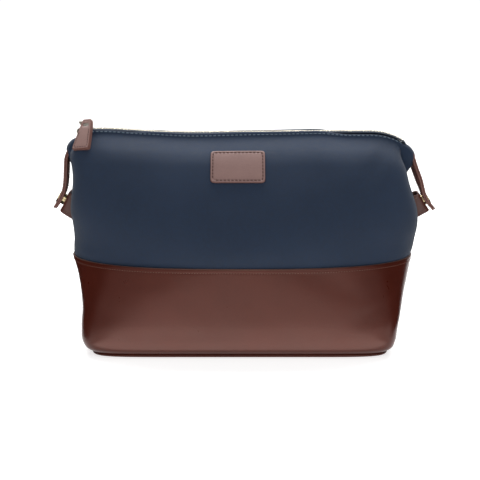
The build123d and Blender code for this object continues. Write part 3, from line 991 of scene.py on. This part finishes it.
def strap_layer(name, end, low, high, trim, look):
    """One layer of a strap between two distances from its middle, with a rounded free end."""
    middle, half_thick = (low + high) / 2, (high - low) / 2
    upper = list(STRAP_EDGE) + [(-a, b) for a, b in reversed(STRAP_EDGE[:-1])]
    ring = upper + [(a, -b) for a, b in reversed(upper)]
    loops = []
    for spot, out, rest, twist in zip(*strap_line(end)):
        left = rest - trim
        if left > 0.05:
            half = strap_half(left)
            thin = half_thick * min(1.0, left / 0.8) ** 0.5
            loops.append([on_strap(end, spot, out, twist, a * half, middle + b * thin) for a, b in ring])
    made = loft(name, loops, [look, "strap_edge_and_highlight"])
    for polygon in made.data.polygons[:-2]:
        polygon.material_index = int(polygon.index % len(ring) in STRAP_SIDES)
    return made


def straps():
    """The two-layer straps with their edge stitches."""
    for end, sign in ENDS.items():
        outer = strap_layer(f"strap_outer_skin_{end}", end, 0.02, STRAP_LAYER, 0.0, "strap")
        put(outer, f"strap_{end}", "strap_leather", f"strap_outer_{end}")
        # The inner layer's look is painted lighter to make up for its shade.
        inner = strap_layer(f"strap_inner_skin_{end}", end, -STRAP_LAYER, -0.02, 0.5, "strap_back_painted_light")
        put(inner, f"strap_{end}", "strap_leather", f"strap_inner_{end}")
        for face, height in (("out", STRAP_LAYER - 0.1), ("in", 0.1 - STRAP_LAYER)):
            lines = []
            for edge in (-0.82, 0.82):
                line = [
                    on_strap(end, spot, out, twist, edge * strap_half(rest), height)
                    for spot, out, rest, twist in zip(*strap_line(end))
                    if 4 < rest < 43
                ]
                lines.append(walk(np.array(line), STITCH_FINE[0]))
            both = (np.concatenate(part) for part in zip(*lines))
            facing = np.sign(height) * np.array([sign * 1.0, 0, 0.1])
            name = f"strap_stitches_{face}_{end}"
            stitches = sew(name, *both, facing, STITCH_FINE, "thread_base")
            put(stitches, f"strap_{end}", "strap_leather")


# The side loops as (outward, height): the free top and foot, and the two roots on the bag
LOOP_TOP = {"left": (136.3, 119.6), "right": (139.6, 118.7)}
LOOP_FOOT = {"left": (143.6, 105.2), "right": (147.6, 105.7)}
LOOP_ROOTS = ((127.5, 114.5), (128.5, 96.5))
LOOP_PLAN = ((0.0, 8.9), (0.55, 9.0), (0.86, 9.0), (0.96, 8.2), (1.0, 6.6), (1.0, 3.0), (1.0, 0.0))
LOOP_SHARES = (0, 0.03, 0.08, 0.13, 0.17, 0.3, 0.5, 0.7, 0.83, 0.87, 0.92, 0.97, 1)
LOOP_STITCHED = (3, 9)  # the rows, of those shares of the height, that are stitched


def loop_swell(share):
    """How far the loop's surface swells beside its stitches, at that share of its height."""
    ridges = hump(share, 0.05, 0.05) + hump(share, 0.95, 0.05)
    grooves = hump(share, 0.13, 0.025) + hump(share, 0.87, 0.025)
    return 0.25 * ridges - 0.12 * grooves


def side_loop_grid(end):
    """The loop's outside: rows from its foot to its top, columns from one root round to the other."""
    plan = [(reach, -y) for reach, y in LOOP_PLAN]
    plan += [(reach, y) for reach, y in reversed(LOOP_PLAN[:-1])]
    table = [(i, *row) for i, row in enumerate(plan)]
    at = np.linspace(0, len(plan) - 1, 61)
    reach, y = np.clip(smooth(table, at, 1), 0, 1), smooth(table, at, 2)

    def edge(root, tip):
        out = root[0] + (tip[0] - root[0]) * reach
        return np.array([out, root[1] + (tip[1] - root[1]) * reach**1.3])

    low, high = edge(LOOP_ROOTS[1], LOOP_FOOT[end]), edge(LOOP_ROOTS[0], LOOP_TOP[end])
    rows = []
    for share in LOOP_SHARES:
        swell = loop_swell(share)
        x, z = low + (high - low) * share
        x = x - 1.6 * share * (1 - share) * reach + swell * (reach > 0.99)
        rows.append(np.stack([ENDS[end] * x, y * (1 + swell / 9), z], axis=1))
    return np.array(rows)


def side_loop(end):
    """The leather strip that stands off the bag's side and carries the snap's stud."""
    grid = side_loop_grid(end)
    normals = grid_normals(grid, False)
    if normals[6, 30, 0] * ENDS[end] < 0:
        normals = -normals
    loop = shell(f"side_loop_skin_{end}", grid, 1.7, ["strap", "strap_edge_and_highlight"], normals=normals)
    put(loop, "bag", "strap_leather", f"side_loop_{end}")
    lines = []
    for row in LOOP_STITCHED:
        places, tangents = walk(grid[row], STITCH_FINE[0], 1.0)
        near = [np.argmin(np.linalg.norm(grid[row] - place, axis=1)) for place in places]
        lines.append((places, tangents, normals[row][near]))
    both = (np.concatenate(part) for part in zip(*lines))
    stitches = sew(f"side_loop_stitches_{end}", *both, STITCH_FINE, "thread_base")
    put(stitches, "bag", "strap_leather")


# ---- metal parts kept from the CAD


def dress_metal():
    """The metal pieces keep their CAD shape; the right snap's are copies, moved by SNAP_SHIFT."""
    looks = {"zip_slider": "slider", "pull_link": "slider", "zip_top_stops": "teeth"}
    looks |= {f"snap_{part}_left": "brass" for part in SNAP_BODY}
    for name, look in looks.items():
        dress(frame["nodes"][name], look)
    for part, body in SNAP_BODY.items():
        node = frame["nodes"][f"snap_{part}_right"]
        mesh = node.data.copy()
        mesh.transform(Matrix.Translation(Vector(SNAP_SHIFT) * MM) @ node.matrix_world)
        made = in_scene(f"snap_{part}_metal_right", mesh)
        put(made, body, "snap_brass", node.name)
        dress(made, "brass")


def dress(piece, look):
    """A finish and softened edges for a metal piece."""
    for slot in piece.material_slots:
        slot.material = LOOKS[look]
    soft = piece.modifiers.new("soft edges", "BEVEL")
    soft.width = 0.25 * MM
    soft.segments = 2
    soft.limit_method = "ANGLE"


# ---- the studio


def stage_face(name, look, corners):
    """A four-cornered face round the bag, with its node tree, shader and coordinates."""
    mesh = bpy.data.meshes.new(name)
    mesh.from_pydata([tuple(c * MM for c in corner) for corner in corners], [], [(0, 1, 2, 3)])
    material, tree, shader, coords = blank(look)
    mesh.materials.append(material)
    return in_scene(name, mesh), tree, shader, coords


def card(name, corners, strength):
    """A card that only shows in reflections."""
    made, tree, shader, _ = stage_face(name, name, corners)
    feed(tree, shader, {"Base Color": (0, 0, 0, 1), "Specular IOR Level": 0})
    feed(tree, shader, {"Emission Color": (1, 1, 1, 1), "Emission Strength": strength})
    for ray in ("camera", "diffuse", "shadow", "transmission"):
        setattr(made, f"visible_{ray}", False)


def floor():
    """White paper that gives off some of its light itself, less of it onto the bag."""
    far = 8000
    corners = [(-far, -far, 0), (far, -far, 0), (far, far, 0), (-far, far, 0)]
    made, tree, shader, coords = stage_face("floor", "floor_paper", corners)
    tone = remap(tree, noise(tree, coords.outputs["Object"], 3), 0, 1, 0, 1)
    paper = blend_colour(tree, tone, (0.61, 0.61, 0.61), (0.63, 0.63, 0.63))
    feed(tree, shader, {"Base Color": paper, "Roughness": 1.0, "Specular IOR Level": 0.0})
    soft = add(tree, "ShaderNodeLightPath").outputs["Is Diffuse Ray"]
    glow = remap(tree, soft, 0, 1, 0.7, 0.18)
    feed(tree, shader, {"Emission Color": (1, 1, 1, 1), "Emission Strength": glow})


def area_light(name, place, aim, size, power):
    """A soft light of (width, height) that faces its aim; places in metres."""
    light = bpy.data.lights.new(name, "AREA")
    light.shape = "RECTANGLE"
    light.size, light.size_y = size
    light.energy = power
    made = in_scene(name, light)
    made.location = place
    made.rotation_euler = (Vector(aim) - Vector(place)).to_track_quat("-Z", "Y").to_euler()


# The upright dark cards: name, x, from y, to y, from z
DARK_CARDS = (
    ("left_card", -175, -84, 0, 0),
    ("left_back_card", -175, 0, 110, 15),
    ("right_card", 175, -76, 20, 0),
)


def studio():
    """A pale world that is dimmer at both sides, two soft lights and the reflection cards."""
    world = bpy.data.worlds.new("studio")
    bpy.context.scene.world = world
    world.use_nodes = True
    tree = world.node_tree
    tree.nodes.clear()
    way = add(tree, "ShaderNodeSeparateXYZ", {0: add(tree, "ShaderNodeTexCoord").outputs["Generated"]})
    sideways = math_node(tree, "ABSOLUTE", way.outputs[0])
    glow = remap(tree, sideways, 0.45, 0.95, 0.6, 0.3)
    lit = add(tree, "ShaderNodeBackground", {"Color": (1, 1, 1, 1), "Strength": glow})
    seen = add(tree, "ShaderNodeBackground", {"Color": (1, 1, 1, 1), "Strength": 1.05})
    ray = add(tree, "ShaderNodeLightPath").outputs["Is Camera Ray"]
    mixed = add(tree, "ShaderNodeMixShader", {0: ray, 1: lit.outputs[0], 2: seen.outputs[0]})
    add(tree, "ShaderNodeOutputWorld", {"Surface": mixed.outputs[0]})
    area_light("overhead", (0.0, 0.7, 1.3), (0, 0, 0.1), (1.6, 0.7), 32)
    area_light("key", (0.5, -1.4, 0.9), (0, 0, 0.08), (0.9, 0.9), 3)
    for name, x, near, far, low in DARK_CARDS:
        card(name, [(x, near, low), (x, far, low), (x, far, 420), (x, near, 420)], 0.0)
    card("near_card", [(-125, -135, 0.3), (125, -135, 0.3), (125, -67, 0.3), (-125, -67, 0.3)], 3.1)


def camera():
    """The viewpoint: from the front, a little above."""
    distance, elevation = 1.0, math.radians(11.5)
    target = Vector((0, 0, 0.085))
    lens = bpy.data.cameras.new("camera")
    lens.sensor_width = 36.0
    lens.lens = 94.0
    lens.shift_x = -0.0042
    lens.shift_y = -0.0131
    made = in_scene("camera", lens)
    back = Vector((0, -math.cos(elevation), math.sin(elevation)))
    made.location = target + back * distance
    made.rotation_euler = (-back).to_track_quat("-Z", "Y").to_euler()
    bpy.context.scene.camera = made
    bpy.context.scene.view_settings.view_transform = "Standard"


base_wall()
base_bottom()
fabric_top()
for bag_end in ENDS:
    ear(bag_end)
    side_loop(bag_end)
zip_fastener()
puller()
patch()
straps()
dress_metal()
floor()
studio()
camera()
